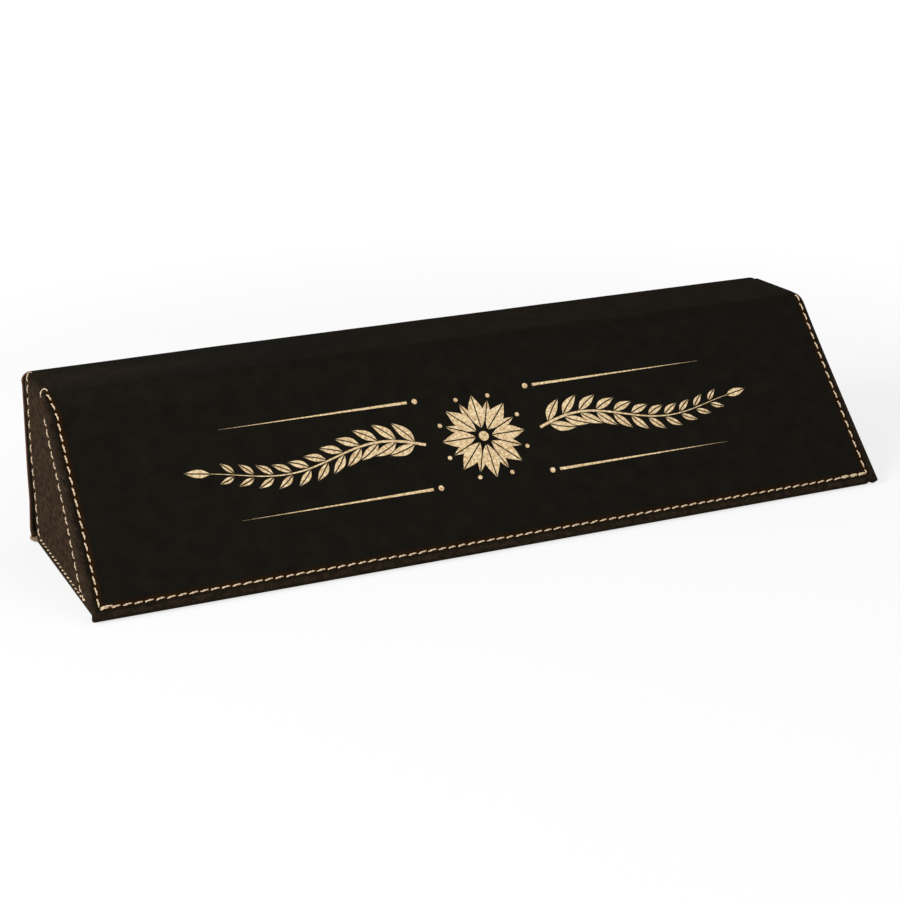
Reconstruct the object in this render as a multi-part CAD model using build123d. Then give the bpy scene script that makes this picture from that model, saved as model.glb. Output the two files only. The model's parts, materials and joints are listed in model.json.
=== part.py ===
from build123d import *
import os
from math import atan2, cos, degrees, radians, sin, tan

os.makedirs("parts", exist_ok=True)

# Folding desk wedge of stitched leatherette over stiff boards.
# It stands with its sloped face to -Y, its length along X and the desk at Z = 0.

# Wedge
LENGTH = 266.7           # front and back panels, end to end
FACE = 71.5              # sloped front, from its top corner to its lower edge
SLOPE_DEG = 48.0         # sloped front above the desk
TOP_DEPTH = 29.0         # top, from its front corner to the back face

# Layers of every panel, from the outside in
COVER = 0.8              # leatherette
BOARD = 1.6              # stiff greyboard
LINING = 0.6             # inner leatherette

# Turned edges of the cover
EDGE_ROUND = 0.6         # along the edge
CORNER_ROUND = 1.5       # at a corner between two free edges

# Folds
FOLD_SPARE = 0.2         # inner radius of a fold, past the panels' inner faces

# End flaps, which hang from the ends of the top
FLAP_RECESS = 0.8        # flap's face, inside the ends of the front and the back
FLAP_GAP = 1.5           # flap's edge to the front and back panels
FLAP_FOOT = 0.5          # flap's lower edge above the desk

# Base and its closing tab
BASE_GAP = 1.0           # base's ends to the end flaps
TAB_HEIGHT = 16.0        # tab, up the slope from its fold
TAB_GAP = 0.3            # tab's face to the front panel's lining

# Magnets let into the boards of the front and the tab
MAGNET_DIAMETER = 10.0
MAGNET_PLAY = 0.1        # round each magnet
MAGNET_SPACING = 90.0
MAGNET_COUNT = 3

# Stitching
SEAM_MARGIN = 2.8        # seam to the free edge
FLAP_SEAM_MARGIN = 2.0   # the same, on the end flaps
STITCH_PITCH = 3.2
STITCH_LENGTH = 2.6
STITCH_SLANT_DEG = 7.0   # each stitch to its seam
THREAD = 0.65            # thread's width

QUARTER_TURN = 90.0
HALF_TURN = 180.0
TOUCH = 0.01             # within this, a point counts as lying on a corner or a side

# Sizes that follow
SLOPE = radians(SLOPE_DEG)
PANEL = COVER + BOARD + LINING
FOLD_RADIUS = PANEL + FOLD_SPARE
STRIP = COVER + LINING
HEIGHT = FACE * sin(SLOPE) + PANEL * cos(SLOPE)
DEPTH = TOP_DEPTH + FACE * cos(SLOPE)
REAR = DEPTH / 2
FRONT_CORNER = REAR - TOP_DEPTH
FRONT_TANGENT = FOLD_RADIUS * tan(SLOPE / 2)
FLAP_FACE = LENGTH / 2 - FLAP_RECESS
BASE_END = FLAP_FACE - PANEL - BASE_GAP


def sloped_y(height, depth):
    """Y at a height, on the plane that lies a depth inside the sloped face."""
    return FRONT_CORNER + (depth + (height - HEIGHT) * cos(SLOPE)) / sin(SLOPE)


TAB_DEPTH = PANEL + TAB_GAP
TAB_FOLD_Y = sloped_y(FOLD_RADIUS, TAB_DEPTH + FOLD_RADIUS)
TAB_LOW = (TAB_FOLD_Y - FRONT_CORNER) * cos(SLOPE) + (FOLD_RADIUS - HEIGHT) * sin(SLOPE)
TAB_HIGH = TAB_LOW + TAB_HEIGHT
FLAP_TOP = HEIGHT - FOLD_RADIUS
FLAP_REAR = REAR - PANEL - FLAP_GAP
FLAP_FRONT_TOP = sloped_y(FLAP_TOP, PANEL + FLAP_GAP)
FLAP_FRONT_FOOT = sloped_y(FLAP_FOOT, PANEL + FLAP_GAP)

# Places of the magnets, the same in the front's plane and in the tab's
MAGNETS = GridLocations(MAGNET_SPACING, 0, MAGNET_COUNT, 1)
MAGNET_ROW = Location((0, (TAB_LOW + TAB_HIGH) / 2))


def crossing(first, second):
    """Point where two lines cross, each given as a point and a direction."""
    across = second[1].rotate(Axis.Z, QUARTER_TURN)
    reach = (second[0] - first[0]).dot(across) / first[1].dot(across)
    return first[0] + first[1] * reach


def inset(corners, margins):
    """Corners of an outline whose sides lie inside the given ones, each by its own margin."""
    lines = []
    for index, margin in enumerate(margins):
        start = Vector(corners[index])
        along = (Vector(corners[(index + 1) % len(corners)]) - start).normalized()
        lines.append((start + along.rotate(Axis.Z, QUARTER_TURN) * margin, along))
    return [crossing(lines[index - 1], lines[index]) for index in range(len(lines))]


def outline_face(corners):
    return make_face(Polyline(*corners, close=True))


def rectangle(half_length, low, high):
    """Corners from the lower left, counterclockwise: sides lower, right, upper, left."""
    return [(-half_length, low), (half_length, low), (half_length, high), (-half_length, high)]


class Panel:
    """Stack of cover, board and lining, with its outer face on a plane."""

    def __init__(self, plane, corners, free, seam_margin=SEAM_MARGIN):
        self.plane = plane
        self.corners = [Vector(corner) for corner in corners]
        self.free = free
        self.core = inset(self.corners, [COVER if side else 0 for side in free])
        self.seam = inset(self.corners, [seam_margin if side else 0 for side in free])

    def is_free_corner(self, point):
        """True at a corner whose two sides are both free edges."""
        for index, corner in enumerate(self.corners):
            if self.free[index - 1] and self.free[index] and (point - corner).length < TOUCH:
                return True
        return False

    def is_on_fold(self, point):
        """True on a side that carries on into a fold."""
        for index, side_is_free in enumerate(self.free):
            start = self.corners[index]
            end = self.corners[(index + 1) % len(self.corners)]
            side = Edge.make_line(start, end)
            if not side_is_free and side.distance_to(point) < TOUCH:
                return True
        return False

    def cover(self):
        """Leatherette on the outer face, turned round the free edges."""
        face = outline_face(self.corners)
        free_corners = [v for v in face.vertices() if self.is_free_corner(v.center())]
        if free_corners:
            face = fillet(free_corners, CORNER_ROUND)
        slab = extrude(face, amount=-PANEL)
        outer_edges = slab.faces().sort_by(Axis.Z)[-1].edges()
        turned = [edge for edge in outer_edges if not self.is_on_fold(edge.center())]
        if turned:
            slab = fillet(turned, EDGE_ROUND)
        return self.plane.location * (slab - self.layer(COVER, BOARD + LINING))

    def layer(self, depth, thickness):
        """Sheet inside the turned edges, drawn on the base plane."""
        return Pos(0, 0, -depth) * extrude(outline_face(self.core), amount=-thickness)

    def board(self):
        return self.plane.location * self.layer(COVER, BOARD)

    def board_with_magnets(self):
        """Board with a round pocket for each magnet, and the magnets."""
        level = MAGNET_ROW * Pos(0, 0, -COVER - BOARD / 2)
        pocket = Cylinder(MAGNET_DIAMETER / 2 + MAGNET_PLAY, BOARD)
        disc = Cylinder(MAGNET_DIAMETER / 2, BOARD)
        pockets = [level * place * pocket for place in MAGNETS]
        discs = [level * place * disc for place in MAGNETS]
        board = self.plane.location * (self.layer(COVER, BOARD) - pockets)
        return board, Compound([self.plane.location * item for item in discs])

    def lining(self):
        return self.plane.location * self.layer(COVER + BOARD, LINING)

    def stitching(self, inside=False):
        """Half-round stitches along each free edge, on the outer or the inner face."""
        face = Pos(0, 0, -PANEL) * Rot(X=HALF_TURN) if inside else Location()
        stitches = []
        for index, side_is_free in enumerate(self.free):
            if side_is_free:
                end = self.seam[(index + 1) % len(self.seam)]
                stitches += seam_stitches(self.seam[index], end, face)
        return Compound([self.plane.location * stitch for stitch in stitches])


def seam_stitches(start, end, face):
    """Row of slanted stitches from one end of a seam to the other."""
    run = end - start
    count = max(1, round(run.length / STITCH_PITCH))
    arc = CenterArc((0, 0), THREAD / 2, 0, HALF_TURN)
    section = make_face([arc, Line(arc @ 1, arc @ 0)])
    stitch = extrude(Plane.YZ * section, amount=STITCH_LENGTH / 2, both=True)
    turn = degrees(atan2(run.Y, run.X)) + STITCH_SLANT_DEG
    centres = [start + run * ((index + 0.5) / count) for index in range(count)]
    return [Pos(centre) * Rot(Z=turn) * face * stitch for centre in centres]


def fold_strip(section, centre, start_deg, turn_deg, length):
    """Leatherette round a fold: part of a tube, with no board in it."""
    outer = CenterArc(centre, FOLD_RADIUS, start_deg, turn_deg)
    inner = CenterArc(centre, FOLD_RADIUS - STRIP, start_deg, turn_deg)
    ring = make_face([outer, Line(outer @ 1, inner @ 1), inner, Line(inner @ 0, outer @ 0)])
    return extrude(section * ring, amount=length / 2, both=True)


# Planes of the outer faces, each looking out of the wedge
slope_normal = Vector(0, -sin(SLOPE), cos(SLOPE))
slope_corner = Vector(0, FRONT_CORNER, HEIGHT)
front_plane = Plane(slope_corner, x_dir=(1, 0, 0), z_dir=slope_normal)
tab_plane = Plane(slope_corner - slope_normal * TAB_DEPTH, x_dir=(1, 0, 0), z_dir=slope_normal)
top_plane = Plane((0, 0, HEIGHT), x_dir=(1, 0, 0), z_dir=(0, 0, 1))
back_plane = Plane((0, REAR, 0), x_dir=(-1, 0, 0), z_dir=(0, 1, 0))
base_plane = Plane((0, 0, 0), x_dir=(1, 0, 0), z_dir=(0, 0, -1))
flap_plane = Plane((FLAP_FACE, 0, 0), x_dir=(0, 1, 0), z_dir=(1, 0, 0))

# Panels, with the free edges of each marked in the order of its sides
front = Panel(front_plane, rectangle(LENGTH / 2, -FACE, -FRONT_TANGENT), (True, True, False, True))
top_outline = [
    (FOLD_RADIUS - FLAP_FACE, FRONT_CORNER + FRONT_TANGENT),
    (FLAP_FACE - FOLD_RADIUS, FRONT_CORNER + FRONT_TANGENT),
    (FLAP_FACE - FOLD_RADIUS, REAR - FOLD_RADIUS),
    (FOLD_RADIUS - FLAP_FACE, REAR - FOLD_RADIUS),
]
top = Panel(top_plane, top_outline, (False, False, False, False))
back = Panel(back_plane, rectangle(LENGTH / 2, FOLD_RADIUS, FLAP_TOP), (False, True, False, True))
base_outline = rectangle(BASE_END, FOLD_RADIUS - REAR, -TAB_FOLD_Y)
base = Panel(base_plane, base_outline, (False, True, False, True))
tab = Panel(tab_plane, rectangle(BASE_END, TAB_LOW, TAB_HIGH), (False, True, True, True))
flap_outline = [
    (FLAP_FRONT_FOOT, FLAP_FOOT),
    (FLAP_REAR, FLAP_FOOT),
    (FLAP_REAR, FLAP_TOP),
    (FLAP_FRONT_TOP, FLAP_TOP),
]
right_flap = Panel(flap_plane, flap_outline, (True, True, False, True), FLAP_SEAM_MARGIN)

nodes = {}
for name, panel in (("front", front), ("tab", tab)):
    nodes[name + "_board"], nodes[name + "_magnets"] = panel.board_with_magnets()
for name, panel in (("top", top), ("back", back), ("base", base), ("right_flap", right_flap)):
    nodes[name + "_board"] = panel.board()
for name, panel in (("front", front), ("top", top), ("back", back), ("base", base), ("tab", tab)):
    nodes[name + "_cover"] = panel.cover()
    nodes[name + "_lining"] = panel.lining()
nodes["right_flap_cover"] = right_flap.cover()
nodes["right_flap_lining"] = right_flap.lining()
nodes["right_flap_stitching"] = right_flap.stitching()
nodes["front_stitching"] = front.stitching()
nodes["back_stitching"] = back.stitching()

# The base and the tab show their seam inside: under the base the thread is pressed flush
nodes["base_stitching"] = base.stitching(inside=True)
nodes["tab_stitching"] = tab.stitching(inside=True)

# Folds, each centred inside the corner that it goes round
front_centre = (FRONT_CORNER + FRONT_TANGENT, FLAP_TOP)
rear_centre = (REAR - FOLD_RADIUS, FLAP_TOP)
bottom_centre = (REAR - FOLD_RADIUS, FOLD_RADIUS)
tab_centre = (TAB_FOLD_Y, FOLD_RADIUS)
nodes["front_fold_strip"] = fold_strip(Plane.YZ, front_centre, QUARTER_TURN, SLOPE_DEG, LENGTH)
nodes["rear_fold_strip"] = fold_strip(Plane.YZ, rear_centre, 0, QUARTER_TURN, LENGTH)
nodes["bottom_fold_strip"] = fold_strip(Plane.YZ, bottom_centre, -QUARTER_TURN, QUARTER_TURN, LENGTH)
nodes["tab_fold_strip"] = fold_strip(
    Plane.YZ, tab_centre, QUARTER_TURN + SLOPE_DEG, HALF_TURN - SLOPE_DEG, 2 * BASE_END
)
flap_section = Plane((0, (FLAP_REAR + FLAP_FRONT_TOP) / 2, 0), x_dir=(1, 0, 0), z_dir=(0, -1, 0))
flap_centre = (FLAP_FACE - FOLD_RADIUS, FLAP_TOP)
flap_fold_length = FLAP_REAR - FLAP_FRONT_TOP
nodes["right_fold_strip"] = fold_strip(flap_section, flap_centre, 0, QUARTER_TURN, flap_fold_length)

# The left end mirrors the right one
for name in [name for name in nodes if name.startswith("right_")]:
    nodes[name.replace("right_", "left_")] = mirror(nodes[name], about=Plane.YZ)

for name, shape in nodes.items():
    export_step(shape, f"parts/{name}.step")
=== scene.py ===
import json
import math

import bmesh
import bpy
import numpy as np
from mathutils import Matrix, Vector

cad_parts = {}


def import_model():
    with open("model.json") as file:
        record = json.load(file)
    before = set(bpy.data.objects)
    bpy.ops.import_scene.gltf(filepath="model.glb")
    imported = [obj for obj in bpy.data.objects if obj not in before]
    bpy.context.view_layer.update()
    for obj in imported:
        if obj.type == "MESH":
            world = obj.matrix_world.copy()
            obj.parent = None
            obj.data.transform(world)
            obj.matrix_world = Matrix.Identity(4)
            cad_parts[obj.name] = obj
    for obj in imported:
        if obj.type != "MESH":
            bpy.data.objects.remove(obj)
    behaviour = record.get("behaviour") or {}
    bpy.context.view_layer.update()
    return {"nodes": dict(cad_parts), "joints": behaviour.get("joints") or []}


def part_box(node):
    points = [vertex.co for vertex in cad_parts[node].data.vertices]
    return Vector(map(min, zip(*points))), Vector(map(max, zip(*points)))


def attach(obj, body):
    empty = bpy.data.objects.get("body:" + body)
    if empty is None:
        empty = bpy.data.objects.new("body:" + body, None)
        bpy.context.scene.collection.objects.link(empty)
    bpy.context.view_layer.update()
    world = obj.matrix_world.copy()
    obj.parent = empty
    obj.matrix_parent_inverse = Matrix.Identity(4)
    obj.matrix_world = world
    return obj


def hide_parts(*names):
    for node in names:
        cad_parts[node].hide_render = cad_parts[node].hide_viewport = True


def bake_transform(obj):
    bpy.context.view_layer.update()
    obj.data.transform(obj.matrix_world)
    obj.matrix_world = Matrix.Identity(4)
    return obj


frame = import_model()

MM = 0.001
QUARTER = math.pi / 2
X, Y, Z = range(3)
SIDES = {"left": -1, "right": 1}


# Sizes that the frame gives
def low(node, axis):
    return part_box(node)[0][axis]


def high(node, axis):
    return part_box(node)[1][axis]


def widest_turn(joint_name):
    """The far end of a joint's range, in radians."""
    return next(math.radians(j["range_deg"][1]) for j in frame["joints"] if j["name"] == joint_name)


SLOPE = widest_turn("front_fold")
TAB_TURN = widest_turn("tab_fold")
HALF = high("front_cover", X)
BASE_HALF = high("base_cover", X)
TOP_Z = high("top_cover", Z)
TOP_FRONT = low("top_cover", Y)
TOP_REAR = high("top_cover", Y)
REAR = high("back_cover", Y)
BASE_FRONT = low("base_cover", Y)
FOLD = high("bottom_fold_strip", Z)
PANEL = high("base_cover", Z)
FLAP_X = high("right_flap_cover", X)
FLAP_FRONT = low("left_fold_strip", Y)
FLAP_REAR = high("left_fold_strip", Y)
TANGENT = FOLD * math.tan(SLOPE / 2)
FACE = (TOP_Z - PANEL * math.cos(SLOPE)) / math.sin(SLOPE)
TAB_RUN = 16 * MM

# Sizes of the dressed skins
STRIP = 1.4 * MM  # covering where it is bent
LEAD = 4 * MM  # flap's covering on the top
END_FOLD = 1.3 * MM  # radius over the flaps
LINER = 0.6 * MM
FLAP_CLEAR = 0.3 * MM  # flap's foot above the desk
FLAP_EASE = 0.35 * MM  # flap's face off its board
FLAP_LEAN = 0.4 * MM  # the same, added towards the foot
FLAP_EASE_PART = 1 / 12  # part of the flap's height over which it eases off
FLAP_TAPER = 2.2 * MM  # flap's rear edge, drawn in at the foot
TAPER_HEIGHTS = (38 * MM, 4 * MM)
FOOT_SPREAD = (0.6 * MM, 1.8 * MM)  # front's foot, on the left and right
SPREAD_REACH = 62 * MM
SPREAD_CURVE = 1.3
NUB, NICK, TIP = 0.38 * MM, 0.6 * MM, 0.35 * MM  # faults at the front's lower corners
WAVES = (61 * MM, 37 * MM, 23 * MM)
WAVE_HEIGHT = 0.01 * MM
WAVE_LEAN = 0.6
WAVE_FADE = 20 * MM
TWIST = (0.42 * MM, 0.36 * MM)  # rear top edge, down on the left and up on the right
TWIST_FROM = (60 * MM, -80 * MM)
TWIST_FRONT = -5 * MM
SKEW = (0.45 * MM, 0.6 * MM)  # top's right edge, out at the front and in at the rear
SKEW_WIDTH = (12 * MM, 2 * MM)  # from the end, where it starts and is full
SKEW_DEPTH = 15 * MM
FRONT_NARROW = 0.45 * MM  # front's right edge, inside the flap at the fold
EDGE_ROUND = 0.6 * MM
EDGE_PROFILE = ((0.0, 0.7), (0.15, 0.25), (0.5, 0.0))  # inner edge, drawn in and short of full depth
EDGE_PLAIN = 0.6  # part of the edge's rounding that the relief leaves alone
EDGE_SPLIT = 0.6  # part of the edge that keeps the face's tone; the rest is painted darker, as shade
SHARP = math.radians(60)
CORNER_ROUND = 0.7 * MM
RIM = 0.8 * MM
RIM_FLAT = 0.94
RIM_DROP = 0.3 * MM
TOUCH = 0.0001 * MM
TINY = 1e-9
FAR = 1.0
GRID = 0.8 * MM
FINE_GRID = 0.4 * MM
FINE_BAND = 5.2 * MM
LINER_GRID = 2.5 * MM
LAP = 1.1 * GRID
FOLD_OVER = 0.5 * MM  # bottom fold, beyond the panels' ends
RAW_BULGE = 1.35 * MM
RAW_ROOT = HALF - BASE_HALF + 0.4 * MM
RAW_DEPTH = 0.9 * MM
RAW_LIFT = 0.5 * MM
RAW_SUNK = 0.12 * MM
RAW_FRAY = 0.05 * MM
RAW_START = 0.58  # in the bottom fold's bend
RAW_ONTO = 3.4 * MM  # onto the base
RAW_GRID = (24, 11)

# Sewing
PITCH = 3.2 * MM
SLANT = math.radians(7)
PLAIN_SEWING = (PITCH, 0.83, SLANT)
UNEVEN_LENGTH = (0.94, 1.04)
UNEVEN_TURN = math.radians(1.3)
UNEVEN_PLACE = 0.035 * MM
FRONT_THREAD = 0.9
FLAP_THREAD = 0.7
PLY = 0.18 * MM
PLY_OFFSET = 0.13 * MM
PLY_TWIST = 2.4 * MM
PLY_STEP = 1.3  # turn from one stitch to the next
CREST = 0.2 * MM
DIP = 0.55 * MM
STITCH_POINTS = 13
LOOSE_POINTS = 25
GROOVE = 0.16 * MM
GROOVE_WIDTH = 0.75 * MM
DIMPLE = 0.22 * MM
DIMPLE_WIDTH = 0.6 * MM
SIDE_MARGIN = 2.8 * MM
SEAM_END = 0.5 * MM


# Lines and meshes
def eased(s, start, end):
    """0 before start, 1 after end and a smooth step between."""
    t = np.clip((np.asarray(s, float) - start) / (end - start), 0, 1)
    return t * t * (3 - 2 * t)


def bell(distance, width):
    """1 at no distance, dying out over the width."""
    return np.exp(-((distance / width) ** 2))


def towards(angle):
    """Unit vectors in the plane at these angles."""
    return np.stack([np.cos(angle), np.sin(angle)], -1)


def unit(vectors, least=TINY):
    return vectors / np.maximum(np.linalg.norm(vectors, axis=1), least)[:, None]


def reach_along(line):
    """How far along a line each of its points lies."""
    return np.concatenate([[0], np.cumsum(np.linalg.norm(np.diff(line, axis=0), axis=1))])


def linked(name, data):
    """A new object in the scene that shows this data."""
    piece = bpy.data.objects.new(name, data)
    bpy.context.scene.collection.objects.link(piece)
    return piece


def new_piece(name, points, faces):
    mesh = bpy.data.meshes.new(name)
    mesh.from_pydata(points, [], [tuple(map(int, face)) for face in faces])
    mesh.update()
    return linked(name, mesh)


def dress(piece, material, slot, *nodes):
    """Gives a piece its material, in place of these nodes; slot is not used."""
    piece.data.materials.append(material)
    if nodes:
        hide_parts(*nodes)
    return piece


def grid_faces(rows, columns):
    """The quads between the points of a grid that is numbered row by row."""
    return [
        (j * columns + i, j * columns + i + 1, (j + 1) * columns + i + 1, (j + 1) * columns + i)
        for j in range(rows - 1)
        for i in range(columns - 1)
    ]


def band(first, second):
    """The quads between two closed loops of as many points."""
    return list(zip(first, np.roll(first, -1), np.roll(second, -1), second))


def finish_mesh(mesh, uv, tone, weld=False):
    """Outward faces, smooth shading, the flat pattern as a UV map and the tone as an attribute."""
    layer = mesh.uv_layers.new(name="flat")
    corners = np.zeros(len(mesh.loops), np.int32)
    mesh.loops.foreach_get("vertex_index", corners)
    layer.uv.foreach_set("vector", uv[corners].astype(np.float32).ravel())
    attribute = mesh.attributes.new("tone", "FLOAT", "POINT")
    attribute.data.foreach_set("value", tone.astype(np.float32))
    work = bmesh.new()
    work.from_mesh(mesh)
    if weld:
        bmesh.ops.remove_doubles(work, verts=work.verts, dist=TOUCH)
    bmesh.ops.recalc_face_normals(work, faces=work.faces)
    work.to_mesh(mesh)
    work.free()
    mesh.polygons.foreach_set("use_smooth", np.ones(len(mesh.polygons), bool))
    mesh.update()


class Path:
    """A line bent in one plane, made of runs and clockwise turns; its outer side is on the left."""

    def __init__(self, start, heading, steps):
        self.parts = []
        self.marks = [0.0]
        point = np.array(start, float)
        for length, turn in steps:
            self.parts.append((self.marks[-1], point, heading, length, turn))
            point = self.on_part(self.parts[-1], np.array([length]))[0][0]
            heading -= turn
            self.marks.append(self.marks[-1] + length)

    @staticmethod
    def on_part(part, along):
        """Points and outward directions at these distances along one part."""
        _, start, heading, length, turn = part
        angle = heading - turn * along / length
        outward = np.stack([-np.sin(angle), np.cos(angle)], -1)
        if turn:
            radius = length / turn
            first = np.array([-math.sin(heading), math.cos(heading)])
            return start + radius * (outward - first), outward
        return start + along[..., None] * towards(heading), outward

    def at(self, s):
        """Points and outward directions at distances s along the whole line."""
        s = np.asarray(s, float)
        points = np.zeros(s.shape + (2,))
        outward = np.zeros(s.shape + (2,))
        for number, part in enumerate(self.parts):
            here = s >= part[0] if number else np.ones(s.shape, bool)
            points[here], outward[here] = self.on_part(part, s[here] - part[0])
        return points, outward


front_foot = np.array([TOP_FRONT - TANGENT, TOP_Z]) - FACE * towards(SLOPE)
BELT = Path(
    front_foot,
    SLOPE,
    [
        (FACE - TANGENT, 0),
        (FOLD * SLOPE, SLOPE),
        (TOP_REAR - TOP_FRONT, 0),
        (FOLD * QUARTER, QUARTER),
        (TOP_Z - 2 * FOLD, 0),
        (FOLD * QUARTER, QUARTER),
        (TOP_REAR - BASE_FRONT, 0),
        (FOLD * TAB_TURN, TAB_TURN),
        (TAB_RUN, 0),
    ],
)
_, FRONT_END, TOP_START, TOP_END, BACK_START, BACK_END, BASE_START, BASE_END, TAB_START, TAB_END = BELT.marks
LEAD_FRONT = TOP_START + FLAP_FRONT - TOP_FRONT
LEAD_REAR = TOP_END - TOP_REAR + FLAP_REAR

TOP_HALF = FLAP_X - FOLD - LEAD
FLAP = Path(
    (TOP_HALF, TOP_Z),
    0.0,
    [(FLAP_X - END_FOLD - TOP_HALF, 0), (END_FOLD * QUARTER, QUARTER), (TOP_Z - END_FOLD - FLAP_CLEAR, 0)],
)
_, FLAP_BEND, FLAP_START, FLAP_END = FLAP.marks
FLAP_SLOPE_START = FLAP_START + FOLD - END_FOLD


# From flat pattern to the folded part: u runs across, s along the folded line, w outward
def on_belt(u, s, w):
    points, outward = BELT.at(s)
    points = points + outward * np.asarray(w)[..., None]
    return settled(np.broadcast_to(u, points[..., 0].shape), points[..., 0], points[..., 1])


def on_flap(side):
    """The same for an end flap: side is -1 for the left one and 1 for the right one."""

    def place(u, s, w):
        points, outward = FLAP.at(s)
        w = np.asarray(w) + flap_lean(np.asarray(s, float)) * np.clip(1 + np.asarray(w) / PANEL, 0, 1)
        points = points + outward * w[..., None]
        return settled(side * points[..., 0], np.broadcast_to(u, points[..., 0].shape), points[..., 1])

    return place


def settled(x, y, z):
    """The slight twist of a hand-made plate: its rear top edge is lower on the left, higher on the right,
    and the top's right edge runs a little askew."""
    lift = TWIST[1] * eased(x, TWIST_FROM[1], HALF) - TWIST[0] * eased(-x, TWIST_FROM[0], HALF)
    share = np.clip((y - TWIST_FRONT) / (REAR - TWIST_FRONT), 0, 1) * np.clip(z / TOP_Z, 0, 1)
    places = [TOP_FRONT - 1 * MM, FLAP_FRONT + 1 * MM, FLAP_REAR, TOP_REAR + 0.5 * MM]
    askew = np.interp(y, places, [0, SKEW[0], -SKEW[1], 0])
    askew = askew * eased(x, HALF - SKEW_WIDTH[0], HALF - SKEW_WIDTH[1]) * eased(z, TOP_Z - SKEW_DEPTH, TOP_Z)
    return np.stack([x + askew, y, z + lift * share], -1)


def flap_lean(s):
    """How far the flap's outer face stands off its board: more towards the foot."""
    below = np.clip((s - FLAP_BEND) / (FLAP_END - FLAP_BEND), 0, 1)
    return FLAP_EASE * np.clip(below / FLAP_EASE_PART, 0, 1) + FLAP_LEAN * below


def flap_s(height):
    """Place along the flap's line at this height above the desk."""
    return FLAP_START + TOP_Z - END_FOLD - height


def inside(place, depth):
    """The same pattern from within: w runs inward from this depth."""
    return lambda u, s, w: place(u, s, -depth - np.asarray(w))


def over_fold(piece, still, moving, start, end):
    """Bakes a piece's placement into its mesh; it doesn't bend with the fold between these two places."""
    on_belt(0, start, 0)
    on_belt(0, end, 0)
    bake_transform(piece)


def over_flap_fold(piece, label):
    bend = [on_flap(SIDES[label])(0, s, 0) for s in (FLAP_BEND, FLAP_START)]
    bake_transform(piece)


def flap_front(s):
    """The flap's front edge, upright over the fold and sloping with the front panel below it."""
    return FLAP_FRONT - np.maximum(np.asarray(s, float) - FLAP_SLOPE_START, 0) / math.tan(SLOPE)


def flap_rear(s):
    """The flap's rear edge, drawn in towards the foot."""
    return FLAP_REAR - FLAP_TAPER * eased(s, *map(flap_s, TAPER_HEIGHTS))


def straight(value):
    """The same value all along the line."""
    return lambda s: np.full(np.shape(s), value)


def sides(half):
    return straight(-half), straight(half)


def set_in(edges, by):
    """A panel's sides, each moved in by this much."""
    return (lambda s: edges[0](s) + by), (lambda s: edges[1](s) - by)


# Seams
class Seam:
    """A row of stitches in the flat pattern: legs are lists of (u, s) points, each sewn from end to end;
    sewing gives each leg's pitch, the part of it that a stitch fills, and the stitches' slant."""

    def __init__(self, legs, sewing=None, face=1):
        self.face = face
        uneven = np.random.default_rng(1)
        self.legs = [np.array(leg) for leg in legs]
        self.stitches = []
        for leg, (wanted, fill, slant) in zip(self.legs, sewing or [PLAIN_SEWING] * len(legs)):
            reach = reach_along(leg)
            count = max(1, round(reach[-1] / wanted))
            pitch = reach[-1] / count
            for number in range(count):
                middle = (number + 0.5) * pitch
                half = fill * pitch / 2 * uneven.uniform(*UNEVEN_LENGTH)
                ends = [[np.interp(middle + t, reach, leg[:, k]) for k in (0, 1)] for t in (-half, half)]
                start, end = np.array(ends)
                turned = rotated((end - start) / 2, slant + uneven.normal(0, UNEVEN_TURN))
                centre = (start + end) / 2 + uneven.normal(0, UNEVEN_PLACE, 2)
                self.stitches.append((centre - turned, centre + turned))

    def distance(self, u, s):
        """How far each point of the pattern is from the seam."""
        point = np.stack([u, s], -1)
        nearest = np.full(u.shape, FAR)
        for leg in self.legs:
            for a, b in zip(leg[:-1], leg[1:]):
                run = b - a
                t = np.clip(((point - a) @ run) / (run @ run), 0, 1)
                nearest = np.minimum(nearest, np.linalg.norm(point - a - t[..., None] * run, axis=-1))
        return nearest

    def sink(self, u, s):
        """How far the sewing pulls the skin in at each point."""
        away = self.distance(u, s)
        pulled = GROOVE * bell(away, GROOVE_WIDTH)
        near = away < 3 * DIMPLE_WIDTH
        if near.any():
            holes = np.array([end for stitch in self.stitches for end in stitch])
            points = np.stack([u[near], s[near]], -1)
            gap = np.min(np.linalg.norm(points[:, None] - holes[None], axis=-1), axis=1)
            pulled[near] += DIMPLE * bell(gap, DIMPLE_WIDTH)
        return pulled


def rotated(vector, angle):
    c, s = math.cos(angle), math.sin(angle)
    return np.array([c * vector[0] - s * vector[1], s * vector[0] + c * vector[1]])


# Skins
def stations(start, end, free_start, free_end, grid):
    """Places along one side of a skin: close together round a free edge and beside its seam."""
    bend = EDGE_ROUND * (1 - np.cos(np.linspace(0, QUARTER, 5)))
    beside = np.arange(EDGE_ROUND + FINE_GRID, FINE_BAND, FINE_GRID)
    edge = np.concatenate([bend, beside])
    first = edge if free_start else np.array([0.0])
    last = edge if free_end else np.array([0.0])
    middle = end - start - first[-1] - last[-1]
    count = max(2, int(round(middle / grid)))
    inner = first[-1] + middle * np.arange(1, count) / count
    return start + np.concatenate([first, inner, end - start - last[::-1]])


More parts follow.
